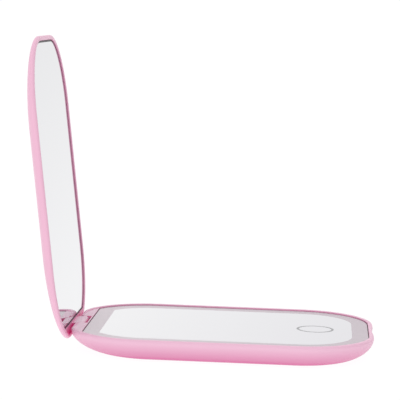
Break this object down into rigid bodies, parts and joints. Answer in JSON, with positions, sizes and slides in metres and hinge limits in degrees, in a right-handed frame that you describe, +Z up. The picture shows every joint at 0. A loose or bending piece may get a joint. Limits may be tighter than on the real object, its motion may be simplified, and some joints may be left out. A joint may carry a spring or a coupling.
{
  "type": "folding pocket mirror",
  "caption": "Pink clamshell pocket mirror: pebble-shaped base with a lighted, frosted-border glass panel and touch mark, thin lid with a full mirror, held on a sunk central knuckle hinge.",
  "frame": {"origin": "middle of the flat underside that the base rests on", "axes": "+X from the hinge to the front edge, +Y across the width, +Z up"},
  "size_m": [0.1367, 0.087, 0.1224],
  "materials": {
    "pink_shell": "satin moulded plastic",
    "pink_frame": "satin moulded plastic",
    "panel_glass": "silvered glass with a frosted border",
    "mirror_glass": "silvered glass",
    "tape": "thin double-sided tape",
    "clear_acrylic": "clear acrylic",
    "white_film": "white reflective film",
    "flex_circuit": "white flexible circuit",
    "led_body": "phosphor window in a white body",
    "foam": "closed-cell foam",
    "copper": "bright copper foil",
    "conductive_foam": "conductive foam",
    "circuit_board": "green solder mask",
    "chip_black": "moulded epoxy",
    "screw_steel": "zinc plated",
    "socket_steel": "nickel plated",
    "battery_foil": "laminated foil pouch",
    "lead_red": "insulated wire",
    "magnet_nickel": "nickel plated magnet",
    "pin_steel": "ground steel",
    "bush_steel": "spring steel"
  },
  "bodies": {
    "base": {"base_shell": "pink_shell", "base_frame": "pink_frame", "base_glass": "panel_glass", "glass_tape": "tape", "battery_tape": "tape", "light_guide": "clear_acrylic", "reflector_sheet": "white_film", "led_strips": "flex_circuit", "leds": "led_body", "foam_pad": "foam", "touch_pad": "copper", "touch_post": "conductive_foam", "main_board": "circuit_board", "board_chips": "chip_black", "board_screws": "screw_steel", "frame_screws": "screw_steel", "usb_socket": "socket_steel", "battery": "battery_foil", "battery_leads": "lead_red", "base_magnets": "magnet_nickel", "hinge_pin": "pin_steel"},
    "lid": {"lid_shell": "pink_shell", "lid_frame": "pink_frame", "friction_bush": "bush_steel", "lid_mirror": "mirror_glass", "mirror_tape": "tape", "lid_magnets": "magnet_nickel"}
  },
  "joints": [
    {"name": "lid_hinge", "type": "hinge", "parent": "base", "child": "lid", "pos_m": [-0.05714, 0, 0.00655], "axis": [0, -1, 0], "range_deg": [-97.1, 27.9]}
  ]
}
